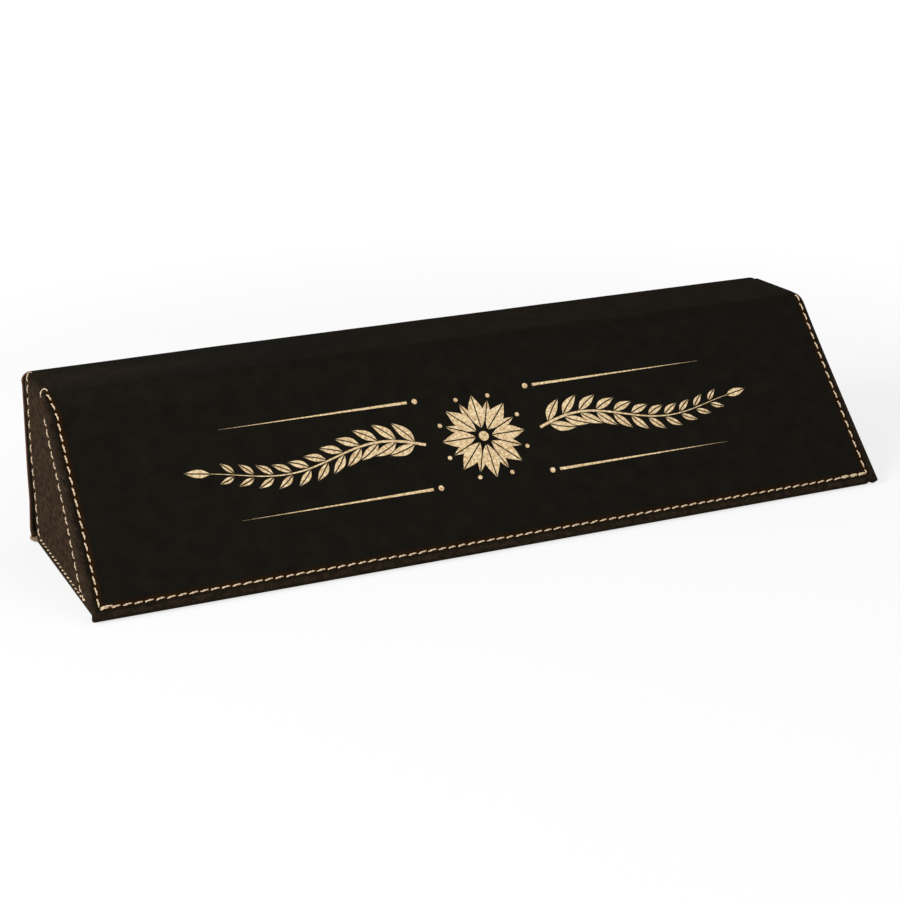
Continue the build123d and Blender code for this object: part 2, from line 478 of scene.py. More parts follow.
def skin(name, place, s_range, edges, free, thickness, relief, tone, shift=None, grid=GRID, inner=1.0):
    """One panel's covering as a closed shell: rounded, seamed face, turned edges, rim and inner face.

    edges are the u of its two sides as functions of s; free names the sides that are turned edges
    among u0, u1, s0 and s1; thickness, relief and tone are functions of place in the pattern; the
    inner part of the edge has inner times the tone, a painted shade where the edge turns under."""
    s0, s1 = s_range
    rows = stations(s0, s1, "s0" in free, "s1" in free, grid)
    widest = max(edges[1](rows) - edges[0](rows))
    columns = stations(0.0, widest, "u0" in free, "u1" in free, grid)
    S = np.repeat(rows[:, None], len(columns), 1)
    left, right = edges[0](S), edges[1](S)
    fine = FINE_BAND + FINE_GRID
    middle = np.clip((columns - fine) / (widest - 2 * fine), 0, 1)
    U = left + columns + (right - left - widest) * middle
    lean = [np.hypot(1, np.gradient(edge(rows), rows))[:, None] for edge in edges]
    gaps = {"u0": (U - left) / lean[0], "u1": (right - U) / lean[1], "s0": S - s0, "s1": s1 - S}
    for side in gaps:
        if side not in free:
            gaps[side] = np.full(S.shape, FAR)
    across = np.minimum(gaps["u0"], gaps["u1"])
    along = np.minimum(gaps["s0"], gaps["s1"])
    D = np.minimum(across, along)
    over = np.maximum(CORNER_ROUND - across, 0)
    up = np.maximum(CORNER_ROUND - along, 0)
    diagonal = np.maximum(np.hypot(over, up), TINY)
    scale = np.where((over > 0) & (up > 0), np.maximum(over, up) / diagonal, 1.0)
    inward_u = np.where(gaps["u0"] < gaps["u1"], over, -over)
    inward_s = np.where(gaps["s0"] < gaps["s1"], up, -up)
    U = U + inward_u * (1 - scale)
    S = S + inward_s * (1 - scale)
    turn = np.clip(EDGE_ROUND - D, 0, EDGE_ROUND)
    W = np.sqrt(np.maximum(EDGE_ROUND**2 - turn**2, 0)) - EDGE_ROUND
    W = W - relief(U, S) * np.clip(D / EDGE_ROUND - EDGE_PLAIN, 0, 1)

    number = np.arange(S.size).reshape(S.shape)
    loop = np.concatenate([number[0, :-1], number[:-1, -1], number[-1, :0:-1], number[:0:-1, 0]])
    u, s, w, t = (part.ravel() for part in (U, S, W, tone(U, S, D)))
    edge_u, edge_s, edge_w, edge_t = (part[loop] for part in (u, s, w, t))
    inward = np.stack([inward_u * scale, inward_s * scale], -1).reshape(-1, 2)[loop]
    towards_u, towards_s = unit(inward).T
    rings = edge_rings(thickness(edge_s), D.ravel()[loop], inner)
    for step, sunk, share in rings:
        u = np.append(u, edge_u + towards_u * step)
        s = np.append(s, edge_s + towards_s * step)
        w = np.append(w, np.minimum(-sunk, edge_w))
        t = np.append(t, edge_t * share)
    if shift:
        u, s, w = shift(u, s, w)
    faces = grid_faces(len(rows), len(columns))
    loops = [loop] + [S.size + k * len(loop) + np.arange(len(loop)) for k in range(len(rings))]
    for near, far in zip(loops, loops[1:]):
        faces += band(near, far)
    faces += inner_face(loops[-1], len(columns), len(rows))
    piece = new_piece(name, place(u, s, w), faces)
    finish_mesh(piece.data, np.stack([u, s + w], -1), t, weld=True)
    piece.data.set_sharp_from_angle(angle=SHARP)
    return piece


def edge_rings(depth, gap, inner):
    """The loops that turn a skin's edge under: how far each is drawn in, its depth and its share of the tone,
    which paints shade on the edge's inner part when inner is below 1.

    gap is how far each point is from a turned edge already, as on a side that runs into a fold."""
    rim = np.minimum(RIM, depth)
    rings = [(EDGE_ROUND * drawn, depth - EDGE_ROUND * short, inner) for drawn, short in EDGE_PROFILE]
    rings += [(rim * RIM_FLAT, depth, inner), (rim, depth - RIM_DROP, inner)]
    under = rings[0][1]
    for (near, sunk, _), (far, lower, _) in zip(rings, rings[1:]):
        under = under + (lower - sunk) * np.clip((gap - near) / (far - near), 0, 1)
    if inner < 1:
        rings.insert(0, (0.0, depth * EDGE_SPLIT, 1.0))
    return [
        (np.maximum(drawn - gap, 0), np.where(gap <= drawn + TOUCH, sunk, under), share)
        for drawn, sunk, share in rings
    ]


def inner_face(ring, across_count, along_count):
    """Closes a skin's inner side from row to row."""
    lower = ring[:across_count]
    right = ring[across_count - 1 : across_count + along_count - 1]
    upper = ring[across_count + along_count - 2 : 2 * across_count + along_count - 2]
    left = np.concatenate([ring[:1], ring[2 * across_count + along_count - 3 :][::-1]])
    faces = []
    for row, near, far in ((lower, left[1], right[1]), (upper, right[-2], left[-2])):
        middle = len(row) // 2
        for k in range(len(row) - 1):
            faces.append((row[k], row[k + 1], near if k < middle else far))
        faces.append((row[middle], far, near))
    for j in range(1, along_count - 2):
        faces.append((left[j], right[j], right[j + 1], left[j + 1]))
    return faces


# Thread
def thread(name, place, seam, surface, extra=(), through=None, weight=1.0):
    """Two-ply stitches, each rising out of one hole and going down into the next; extra adds loose
    stitches as lists of (u, s, w) points; through is the s range in which the inner side is sewn too;
    weight is the thread's thickness beside that of the front's thread."""
    t = np.linspace(0, 1, STITCH_POINTS)
    rise = (1 - np.abs(2 * t - 1) ** 3) ** 0.55
    height = (weight * CREST + DIP) * rise - DIP
    lines = []
    for start, end in seam.stitches:
        u, s = (a + t * (b - a) for a, b in zip(start, end))
        lines.append(np.stack([u, s, surface(u, s) + seam.face * height], -1))
        if through and through[0] < s.min() and s.max() < through[1]:
            lines.append(np.stack([u, s, -PANEL - height], -1))
    lines += [smoothed(np.array(line)) for line in extra]
    points, faces, along = [], [], []
    for number, line in enumerate(lines):
        for ply in (0, 1):
            add_ply(points, faces, along, line, math.pi * ply + PLY_STEP * number, weight)
    points, along = np.concatenate(points), np.concatenate(along)
    piece = new_piece(name, place(*points.T), faces)
    finish_mesh(piece.data, np.stack([along, along], -1), np.zeros(len(points)))
    return piece


def smoothed(line):
    """A loose stitch's points, resampled on a smooth curve through them."""
    reach = reach_along(line)
    t = np.linspace(0, reach[-1], LOOSE_POINTS)
    dense = np.stack([np.interp(t, reach, line[:, k]) for k in range(3)], -1)
    for _ in range(3):
        dense[1:-1] = (dense[:-2] + 2 * dense[1:-1] + dense[2:]) / 4
    return dense


def add_ply(points, faces, along, line, phase, weight, corners=6):
    """One ply of a twisted thread along a line of (u, s, w) points."""
    heading = unit(np.gradient(line, axis=0))
    across = unit(np.stack([-heading[:, 1], heading[:, 0], np.zeros(len(line))], -1))
    lift = np.cross(heading, across)
    reach = reach_along(line)
    turn = phase + 2 * math.pi * reach / PLY_TWIST
    centre = line + weight * PLY_OFFSET * (np.cos(turn)[:, None] * across + np.sin(turn)[:, None] * lift)
    first, count = sum(map(len, points)), len(line)
    for angle in 2 * math.pi * np.arange(corners) / corners:
        points.append(centre + weight * PLY * (math.cos(angle) * across + math.sin(angle) * lift))
        along.append(reach)
    rings = [first + np.arange(corners) * count + i for i in range(count)]
    for near, far in zip(rings, rings[1:]):
        faces += band(near, far)
    faces += [rings[0], rings[-1][::-1]]


# Procedural materials
NOISE_SPAN = (0.3, 0.7)
# rusty brown for the painted shade and colour fringe beside the front's stitches
RUSTY_SHADE = (0.025, 0.0095, 0.002, 1)
BLACK = (0.0090, 0.0083, 0.0062, 1)
BROWN = (0.042, 0.0255, 0.0143, 1)
TAN = (0.16, 0.105, 0.068, 1)
# reddish painted highlight on the lit turned edges of the back and the bottom fold
RED_HIGHLIGHT = (0.105, 0.040, 0.021, 1)


def new_material(name):
    material = bpy.data.materials.new(name)
    material.use_nodes = True
    tree = material.node_tree
    return material, tree, tree.nodes["Principled BSDF"]


def put(tree, socket, value):
    """Sets a socket to a plain value, or links another node's output to it."""
    if isinstance(value, bpy.types.NodeSocket):
        tree.links.new(value, socket)
    else:
        socket.default_value = value


def add(tree, kind, **inputs):
    """A shader node with these inputs set, each by its name or, as in _0, by its number."""
    node = tree.nodes.new("ShaderNode" + kind)
    for name, value in inputs.items():
        socket = node.inputs[int(name[1:])] if name[0] == "_" else node.inputs[name.replace("_", " ")]
        put(tree, socket, value)
    return node


def mixed(tree, factor, first, second, blend="MIX"):
    """The colour output of a mix of two colours."""
    node = tree.nodes.new("ShaderNodeMix")
    node.data_type = "RGBA"
    node.blend_type = blend
    for number, value in ((0, factor), (6, first), (7, second)):
        put(tree, node.inputs[number], value)
    return node.outputs[2]


def calculated(tree, operation, first, second):
    node = add(tree, "Math", _0=first, _1=second)
    node.operation = operation
    return node.outputs[0]


def ranged(tree, value, low_in, high_in, low_out, high_out):
    limits = {"From_Min": low_in, "From_Max": high_in, "To_Min": low_out, "To_Max": high_out}
    return add(tree, "MapRange", Value=value, **limits).outputs["Result"]


def noise(tree, vector, scale, detail=3.0, rough=0.5):
    return add(tree, "TexNoise", Vector=vector, Scale=scale, Detail=detail, Roughness=rough).outputs["Fac"]


def flat_pattern(tree):
    """The flat pattern's coordinates in metres, which fold with the skin."""
    node = tree.nodes.new("ShaderNodeUVMap")
    node.uv_map = "flat"
    return node.outputs["UV"]


def in_place(tree):
    return tree.nodes.new("ShaderNodeTexCoord").outputs["Object"]


def finish_shader(tree, shader, paint, rough, relief, strength, distance):
    put(tree, shader.inputs["Base Color"], paint)
    put(tree, shader.inputs["Roughness"], rough)
    bump = add(tree, "Bump", Height=relief, Strength=strength, Distance=distance)
    put(tree, shader.inputs["Normal"], bump.outputs["Normal"])


def leatherette(name):
    """Matt leatherette with a fine grain: rusty brown at tone -1 for the painted shade along the front's
    seam, near black at 0, brown at 1, used for painted sheen and light, and reddish at 2, a painted
    highlight.
    """
    material, tree, shader = new_material(name)
    place = flat_pattern(tree)
    pebble = add(tree, "TexVoronoi", Vector=place, Scale=2300.0)
    fine = noise(tree, place, 3600.0, 4.0, 0.65)
    blotch = noise(tree, place, 160.0, 5.0, 0.6)
    crumb = noise(tree, place, 480.0, 5.0, 0.8)
    attribute = tree.nodes.new("ShaderNodeAttribute")
    attribute.attribute_name = "tone"
    tone = attribute.outputs["Fac"]
    base = RUSTY_SHADE
    for start, colour in ((-1.0, BLACK), (0.0, BROWN), (1.0, RED_HIGHLIGHT)):
        base = mixed(tree, ranged(tree, tone, start, start + 1.0, 0.0, 1.0), base, colour)
    shade = ranged(tree, blotch, *NOISE_SPAN, 0.82, 1.18)
    speck = ranged(tree, fine, *NOISE_SPAN, 0.6, 1.4)
    varied = mixed(tree, 1.0, base, calculated(tree, "MULTIPLY", shade, speck), "MULTIPLY")
    pitted = mixed(tree, 1.0, varied, ranged(tree, crumb, 0.4, 0.6, 0.4, 1.6), "MULTIPLY")
    varied = mixed(tree, ranged(tree, tone, 0.0, 0.5, 0.0, 1.0), varied, pitted)
    worn = calculated(tree, "MULTIPLY", ranged(tree, fine, 0.58, 0.75, 0.0, 0.35), tone)
    rough = ranged(tree, fine, *NOISE_SPAN, 0.66, 0.84)
    relief = calculated(tree, "ADD", pebble.outputs["Distance"], fine)
    finish_shader(tree, shader, mixed(tree, worn, varied, TAN), rough, relief, 0.35, 0.05 * MM)
    shader.inputs["Specular IOR Level"].default_value = 0.004
    return material


def lining_cloth(name):
    """Smooth dark lining with a faint suede nap."""
    material, tree, shader = new_material(name)
    place = in_place(tree)
    nap = noise(tree, place, 1500.0, 4.0, 0.6)
    cloud = ranged(tree, noise(tree, place, 45.0), *NOISE_SPAN, 0.0, 1.0)
    base = mixed(tree, cloud, (0.017, 0.013, 0.010, 1), (0.028, 0.020, 0.015, 1))
    paint = mixed(tree, 1.0, base, ranged(tree, nap, *NOISE_SPAN, 0.75, 1.25), "MULTIPLY")
    finish_shader(tree, shader, paint, ranged(tree, nap, *NOISE_SPAN, 0.8, 0.95), nap, 0.4, 0.08 * MM)
    shader.inputs["Specular IOR Level"].default_value = 0.1
    shader.inputs["Sheen Weight"].default_value = 0.05
    return material


def grained(name, grain, span, colours, rough, bump, spots=None, metal=0.0, gloss=0.5):
    """A surface whose fine noise varies its colour, roughness and relief; spots are a second noise,
    the part of its range that shows, the most that it covers, and its colour."""
    material, tree, shader = new_material(name)
    place = in_place(tree)
    fine = noise(tree, place, *grain)
    paint = mixed(tree, ranged(tree, fine, *span, 0.0, 1.0), *colours)
    if spots:
        spread, shown, most, colour = spots
        paint = mixed(tree, ranged(tree, noise(tree, place, *spread), *shown, 0.0, most), paint, colour)
    finish_shader(tree, shader, paint, ranged(tree, fine, *NOISE_SPAN, *rough), fine, *bump)
    shader.inputs["Metallic"].default_value = metal
    shader.inputs["Specular IOR Level"].default_value = gloss
    return material


LEATHER = leatherette("leatherette")
LINING = lining_cloth("lining_cloth")
RAW = grained(
    "raw_backing",
    (2400.0, 4.0, 0.7),
    (0.35, 0.65),
    ((0.21, 0.145, 0.083, 1), (0.45, 0.34, 0.21, 1)),
    (0.8, 0.95),
    (0.5, 0.1 * MM),
    gloss=0.1,
)
BOARD = grained(
    "grey_board",
    (900.0, 6.0, 0.7),
    (0.35, 0.65),
    ((0.21, 0.20, 0.18, 1), (0.34, 0.32, 0.29, 1)),
    (0.8, 0.95),
    (0.3, 0.1 * MM),
    ((2600.0, 2.0), (0.62, 0.72), 0.6, (0.09, 0.08, 0.07, 1)),
)
NICKEL = grained(
    "nickel",
    (1800.0, 2.0),
    (0.0, 1.0),
    ((0.50, 0.48, 0.44, 1), (0.66, 0.63, 0.58, 1)),
    (0.22, 0.36),
    (0.1, 0.02 * MM),
    metal=1.0,
)
THREAD = grained(
    "sewing_thread",
    (6500.0, 3.0),
    NOISE_SPAN,
    ((0.68, 0.515, 0.335, 1), (0.885, 0.695, 0.47, 1)),
    (0.55, 0.75),
    (0.35, 0.04 * MM),
    ((220.0, 3.0), (0.55, 0.8), 0.4, (0.53, 0.39, 0.245, 1)),
    gloss=0.3,
)
GOLD = grained(
    "gold_foil",
    (1150.0, 4.0, 0.72),
    (0.4, 0.62),
    ((0.49, 0.305, 0.125, 1), (0.97, 0.785, 0.49, 1)),
    (0.42, 0.62),
    (0.25, 0.05 * MM),
    ((420.0, 3.0), (0.6, 0.8), 0.5, (0.53, 0.355, 0.165, 1)),
    metal=0.25,
)

finishes = {"board": BOARD, "lining": LINING, "magnets": NICKEL, "stitching": THREAD}
for node_name, node in frame["nodes"].items():
    node.data.materials.clear()
    node.data.materials.append(finishes.get(node_name.split("_")[-1], LEATHER))

# Seams of each panel in its flat pattern; the front's insets are millimetres from its ends
front_low = 2.95 * MM
right_low = 2.8 * MM
front_left = -HALF + 1.3 * MM
front_right = HALF - 1.95 * MM
LEFT_INSETS = [
    (1.4, FRONT_END + 2.3 * MM),
    (1.95, FRONT_END),
    (2.45, FRONT_END - 2.8 * MM),
    (2.95, FRONT_END - 6.2 * MM),
    (2.7, FRONT_END - 8.8 * MM),
    (2.4, 52 * MM),
    (2.15, 35 * MM),
    (1.9, 16 * MM),
    (1.5, 5.5 * MM),
    (1.3, front_low + 0.2 * MM),
]
RIGHT_INSETS = [
    (1.95, right_low + 1.8 * MM),
    (1.95, 20 * MM),
    (1.9, 55 * MM),
    (1.75, FRONT_END - 1 * MM),
    (2.1, FRONT_END + 2.2 * MM),
]
FRONT_SEAM = Seam(
    [
        [(-HALF + inset * MM, s) for inset, s in LEFT_INSETS],
        [(front_left, front_low), (front_right, right_low)],
        [(HALF - inset * MM, s) for inset, s in RIGHT_INSETS],
    ],
    [(3.46 * MM, 0.8, SLANT), (3.29 * MM, 0.88, SLANT), (3.7 * MM, 0.8, SLANT)],
)

# The flap's seam, as millimetres inside the rear edge or behind the middle, and above the desk
FLAP_REAR_STEPS = ((3.0, 49.6), (2.3, 40), (2.4, 28), (3.8, 16), (4.6, 6), (5.8, 2.7))
FLAP_FRONT_STEPS = ((-24.4, 2), (-20.1, 3.6), (-17.3, 7.5), (-9.4, 19.7))
FLAP_FRONT_STEPS += ((-0.7, 31.7), (5.8, 39.5), (11.3, 47.7))
FLAP_REAR_LEG = [(FLAP_REAR - inset * MM, flap_s(height * MM)) for inset, height in FLAP_REAR_STEPS]
FLAP_FRONT_LEG = [(behind * MM, flap_s(height * MM)) for behind, height in FLAP_FRONT_STEPS]
FLAP_LOW_LEG = [FLAP_REAR_LEG[-1], (6 * MM, flap_s(2.6 * MM)), FLAP_FRONT_LEG[0]]
FLAP_SEWING = [(3.9 * MM, 0.84, SLANT), (2.95 * MM, 0.62, SLANT), (3.46 * MM, 0.92, 0.2 * SLANT)]
flap_back = FLAP_REAR_LEG[0][0]
flap_starts = {"left": (flap_back - 0.4 * MM, FLAP_START + 1.1 * MM), "right": (flap_back, FLAP_START)}
FLAP_SEAMS = {
    label: Seam([[first] + FLAP_REAR_LEG, FLAP_LOW_LEG, FLAP_FRONT_LEG], FLAP_SEWING)
    for label, first in flap_starts.items()
}


def side_legs(half, start, end):
    """A leg beside each end of a panel, between these two places."""
    places = (start + SEAM_END, end - SEAM_END)
    return [[(side * (half - SIDE_MARGIN), s) for s in places] for side in (-1, 1)]


BACK_SEAM = Seam(side_legs(HALF, BACK_START, BACK_END))
BASE_SEAM = Seam(side_legs(BASE_HALF, BASE_START, BASE_END), face=-1)
tab_side, tab_low, tab_top = BASE_HALF - SIDE_MARGIN, TAB_START + SEAM_END, TAB_END - SIDE_MARGIN
tab_corners = [(-tab_side, tab_low), (-tab_side, tab_top), (tab_side, tab_top), (tab_side, tab_low)]
TAB_SEAM = Seam([tab_corners[k : k + 2] for k in range(3)], face=-1)


# Thickness, relief and tone of the skins
def thin_between(start, end):
    """A fold's thickness between these marks, less a lap over the boards' ends, and a panel's outside."""
    return lambda s: np.where((s > start + LAP) & (s < end - LAP), STRIP, PANEL)


def level(u, *_):
    """No relief, or no tone."""
    return np.zeros(np.shape(u))


def plain(u, s):
    """The faint waviness of a covered board, which dies out towards the ends."""
    within = np.clip((TOP_HALF - np.abs(u)) / WAVE_FADE, 0, 1)
    turn = 2 * math.pi * (u + WAVE_LEAN * s)
    return within * WAVE_HEIGHT * sum(np.sin(turn / wave + 7 * k) for k, wave in enumerate(WAVES))


def sewn_board(seam):
    return lambda u, s: seam.sink(u, s) + plain(u, s)


front_relief, back_relief = sewn_board(FRONT_SEAM), sewn_board(BACK_SEAM)
# brown on the turned edges and on the margins outside the seams: a painted sheen where the covering curves
EDGE_TONE = 0.08
EDGE_WIDTH = 0.8 * MM
MARGIN_TONE = 0.3
MARGIN_WIDTH = 3.2 * MM
MARGIN_BLUR = 1.2 * MM
SEAM_BLUR = 0.6 * MM
# the end flaps' brown: painted light and sheen
FLAP_TONE = 0.72
# painted light from the left on the top's left end
LEFT_TONE = 0.45
LEFT_FROM = 10 * MM
LEFT_DEPTH = 22 * MM
# strength and width of the reddish painted highlight on the back's turned edges
HIGHLIGHT_TONE = 1.4
HIGHLIGHT_WIDTH = 0.9 * MM
# the rusty band along the front's seam: painted shade beside the stitches
SEAM_SHADE_TONE = -1.0
SEAM_SHADE_WIDTH = (0.75 * MM, 1.1 * MM)
# the left lead-in is browner than the right: painted light from the left
LEAD_TONES = {"left": 0.19, "right": 0.06}
BELT_TONES = [
    (0.0, 0.03),
    (FRONT_END - 3 * MM, 0.03),
    (TOP_START + 1 * MM, -0.13),
    (TOP_END, -0.13),
    (BACK_START + 2 * MM, 0.18),
    (TAB_END, 0.18),
]


def along_belt(u, s):
    """Tone of the covering along the folded line, browner towards the left end of the top, a painted light
    from the left.
    """
    on_top = np.clip(1 - np.abs(s - (TOP_START + TOP_END) / 2) / LEFT_DEPTH, 0, 1)
    left_end = np.clip((-u - LEFT_FROM) / (HALF - LEFT_FROM), 0, 1)
    return np.interp(s, *zip(*BELT_TONES)) + LEFT_TONE * on_top * left_end


def edge_sheen(d):
    """Browner turned edges, a painted sheen where the covering curves away."""
    return EDGE_TONE * bell(d, EDGE_WIDTH)


def belt_tone(u, s, d):
    margin = MARGIN_TONE * np.clip((MARGIN_WIDTH - d) / MARGIN_BLUR, 0, 1)
    return np.clip(along_belt(u, s) + edge_sheen(d) + margin, -1, 1)


def beyond_seam(u, s):
    """How far each point of the front lies outside its seam; negative within it."""
    left, lower, right = FRONT_SEAM.legs
    past_left = np.interp(s, left[::-1, 1], left[::-1, 0]) - u
    past_lower = np.interp(u, lower[:, 0], lower[:, 1]) - s
    past_right = u - np.interp(s, right[:, 1], right[:, 0])
    return np.maximum(np.maximum(past_left, past_right), past_lower)


def front_tone(u, s, d):
    """The front: brown outside its seam, a painted sheen on its curved margin, and a dark rusty band along
    the seam that spreads inward, painted shade and colour fringe beside the stitches.
    """
    beyond = beyond_seam(u, s)
    margin = MARGIN_TONE * np.clip(0.5 + beyond / SEAM_BLUR, 0, 1)
    base = np.clip(along_belt(u, s) + edge_sheen(d) + margin, -1, 1)
    seam_shade = bell(FRONT_SEAM.distance(u, s), np.where(beyond > 0, *SEAM_SHADE_WIDTH))
    return base * (1 - seam_shade) + SEAM_SHADE_TONE * seam_shade


def back_tone(u, s, d):
    """The back, with a reddish painted highlight along its turned edges."""
    return belt_tone(u, s, d) + HIGHLIGHT_TONE * bell(d, HIGHLIGHT_WIDTH)


def flap_tone(start):
    """Tone of an end flap whose lead-in on the top has the tone start; the flap's brown below its fold is
    painted light and sheen.
    """

    def tone(u, s, d):
        below = eased(s, FLAP_BEND - 1 * MM, FLAP_START + 3 * MM)
        return np.clip(start + (FLAP_TONE - start) * below + 0.5 * edge_sheen(d), 0, 1)

    return tone


# Skins of the panels
def front_edge(side, spread, narrow):
    """One side of the front: it spreads towards the foot and is drawn in over the fold, to this much
    inside the flap."""

    def edge(s):
        foot = np.clip(1 - np.asarray(s, float) / SPREAD_REACH, 0, 1) ** SPREAD_CURVE
        drawn = (HALF - FLAP_X + narrow) * eased(s, FRONT_END - 2 * MM, TOP_START + 1 * MM)
        return side * (HALF + spread * foot - drawn)

    return edge


BACK_DRAWN = {
    -1: [
        (TOP_END, 2.4 * MM),
        (0.67 * TOP_END + 0.33 * BACK_START, 1.8 * MM),
        (0.33 * TOP_END + 0.67 * BACK_START, 0.85 * MM),
        (BACK_START, 0.34 * MM),
        (BACK_START + 1.3 * MM, 0.5 * MM),
    ],
    1: [(TOP_END, 1.4 * MM), (BACK_START, 0.5 * MM)],
}
BACK_FOOT = [
    (BACK_START + 8 * MM, 0.4 * MM),
    (BACK_START + 30 * MM, 0.0),
    (BACK_END - 9 * MM, 0.0),
    (BACK_END, -FOLD_OVER),
]


def back_edge(side):
    """One side of the back, drawn in towards the fold above it."""
    places, drawn = zip(*BACK_DRAWN[side], *BACK_FOOT)
    return lambda s: side * (HALF - np.interp(s, places, drawn))


def rounded_corner(u, s, w):
    """The back's upper right corner, which falls away like the flap's fold beside it."""
    beyond = np.clip(u - FLAP_X + FOLD, 0, FOLD)
    fall = FOLD - np.sqrt(FOLD**2 - beyond**2)
    return u, s, w - fall * (1 - eased(s, TOP_END, BACK_START))


def dog_ears(u, s, w):
    """Small faults at the foot of the front: a nub on the left corner, and a nick beside the right tip."""
    from_left, from_right = u + HALF + FOOT_SPREAD[0], u - HALF - FOOT_SPREAD[1]
    nub = bell(from_left, 1.3 * MM) * bell(s - 0.7 * MM, 1.1 * MM)
    nick = bell(from_right + 2.2 * MM, 0.7 * MM) * bell(s, 1.2 * MM)
    tip = bell(from_right, 1.1 * MM) * bell(s, 1.2 * MM) * np.clip(1 + w / PANEL, 0, 1)
    return u - NUB * nub, s + NICK * nick - TIP * tip, w


FRONT_FOLD = ("top", "front", TOP_START, FRONT_END)
BOTTOM_FOLD = ("base", "back", BASE_START, BACK_END)


def cover(name, nodes, carried, s_range, edges, free, relief=plain, tone=belt_tone, shift=None, inner=0.3):
    """The leatherette of one stretch of the belt, in place of these nodes; carried is the body that it
    rides on, or the fold's two bodies, which are not used, and its two places, which set where it is thin."""
    rides = isinstance(carried, str)
    thickness = straight(PANEL) if rides else thin_between(*sorted(carried[2:]))
    # inner darkens the inner part of the turned edges: painted shade where they turn under
    piece = skin(name, on_belt, s_range, edges, free, thickness, relief, tone, shift, inner=inner)
    dress(piece, LEATHER, "leatherette", *nodes)
    if rides:
        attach(piece, carried)
    else:
        over_fold(piece, *carried)


cover(
    "front_skin",
    ("front_cover", "front_fold_strip"),
    FRONT_FOLD,
    (0.0, LEAD_FRONT),
    (front_edge(-1, FOOT_SPREAD[0], 0), front_edge(1, FOOT_SPREAD[1], FRONT_NARROW)),
    ("s0", "u0", "u1"),
    front_relief,
    front_tone,
    dog_ears,
    1.0,
)
cover("top_skin", ["top_cover"], "top", (LEAD_FRONT, LEAD_REAR), sides(TOP_HALF), ())
cover(
    "back_skin",
    ("back_cover", "rear_fold_strip"),
    ("back", "top", BACK_START, TOP_END),
    (LEAD_REAR, BACK_END),
    (back_edge(-1), back_edge(1)),
    ("u0", "u1"),
    back_relief,
    back_tone,
    rounded_corner,
    # the back's turned edges are painted dark on their inner part: shade in the gap beside the flaps
    0.12,
)
cover(
    "bottom_fold_skin",
    ["bottom_fold_strip"],
    BOTTOM_FOLD,
    (BACK_END, BASE_START),
    sides(HALF + FOLD_OVER),
    ("u0", "u1"),
    tone=back_tone,
    inner=0.6,
)
cover("base_skin", ["base_cover"], "base", (BASE_START, BASE_END), sides(BASE_HALF), ("u0", "u1"))
cover(
    "tab_skin",
    ("tab_cover", "tab_fold_strip"),
    ("base", "tab", BASE_END, TAB_START),
    (BASE_END, TAB_END),
    sides(BASE_HALF),
    ("u0", "u1", "s1"),
)
for label, side in SIDES.items():
    flap_skin = skin(
        label + "_flap_skin",
        on_flap(side),
        (0.0, FLAP_END),
        (flap_front, flap_rear),
        ("u0", "u1", "s1"),
        thin_between(-GRID - LAP, FLAP_START + LAP),
        FLAP_SEAMS[label].sink,
        flap_tone(LEAD_TONES[label]),
    )
    dress(flap_skin, LEATHER, "leatherette", label + "_flap_cover", label + "_fold_strip")
    over_flap_fold(flap_skin, label)


# Raw ends of the bottom fold, where the pale backing shows
def raw_end(name, side):
    """A frayed tuft at the end of the fold, from the middle of its bend to the base's first millimetres."""
    uneven = np.random.default_rng(5)
    along, across = RAW_GRID
    t = np.linspace(0, 1, across)
    begin = (1 - RAW_START) * BACK_END + RAW_START * BASE_START
    points = []
    for share in np.linspace(0, 1, along):
        place = (1 - share) * begin + share * (BASE_START + RAW_ONTO)
        full = 0.85 + 0.15 * math.sin(math.pi * share) ** 0.5
        out = -RAW_ROOT + (RAW_ROOT + RAW_BULGE) * full * np.sin(math.pi * t) ** 0.6
        out[1:-1] += uneven.normal(0, RAW_FRAY, across - 2)
        lift = RAW_LIFT * (1 - eased(share, 0.1, 0.6)) * eased(out, 0.3 * MM, 0.9 * MM)
        depth = lift - RAW_SUNK - (RAW_DEPTH + lift + uneven.normal(0, RAW_FRAY)) * t
        points.append(on_belt(side * (HALF + out), np.full(across, place), depth))
    points = np.concatenate(points)
    points[:, Z] = np.maximum(points[:, Z], 0)
    count = len(points)
    faces = grid_faces(along, across)
    faces += [range(across), range(count - across, count)]
    faces.append([*range(0, count, across), *range(count - 1, 0, -across)])
    piece = new_piece(name, points, faces)
    finish_mesh(piece.data, np.zeros((count, 2)), np.zeros(count))
    dress(piece, RAW, "leatherette")
    over_fold(piece, *BOTTOM_FOLD)


for label, side in SIDES.items():
    raw_end(label + "_raw_end", side)


# Linings, each laid inside its panel's turned edges, and the flaps' boards, cut to their tapered outline
def slab(name, place, s_range, edges, thickness, relief):
    """A flat piece whose edges are all free."""
    free = ("u0", "u1", "s0", "s1")
    return skin(name, place, s_range, edges, free, straight(thickness), relief, level, grid=LINER_GRID)


def liner(body, place, s_range, edges, relief):
    piece = slab(body + "_liner", inside(place, PANEL), s_range, edges, LINER, relief)
    dress(piece, LINING, "lining", body + "_lining")
    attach(piece, body)


def flap_core(body, place):
    node = body + "_board"
    depth = FLAP_X - high("right_flap_board", X)
    heights = (flap_s(high(node, Z)), flap_s(low(node, Z)))
    edges = set_in((flap_front, flap_rear), depth / math.sin(SLOPE))
    thickness = high(node, X) - low(node, X)

    def under_cover(u, s, w):
        return place(u, s, np.asarray(w) - depth)

    piece = slab(body + "_core", under_cover, heights, edges, thickness, level)
    dress(piece, BOARD, "greyboard", node)
    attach(piece, body)


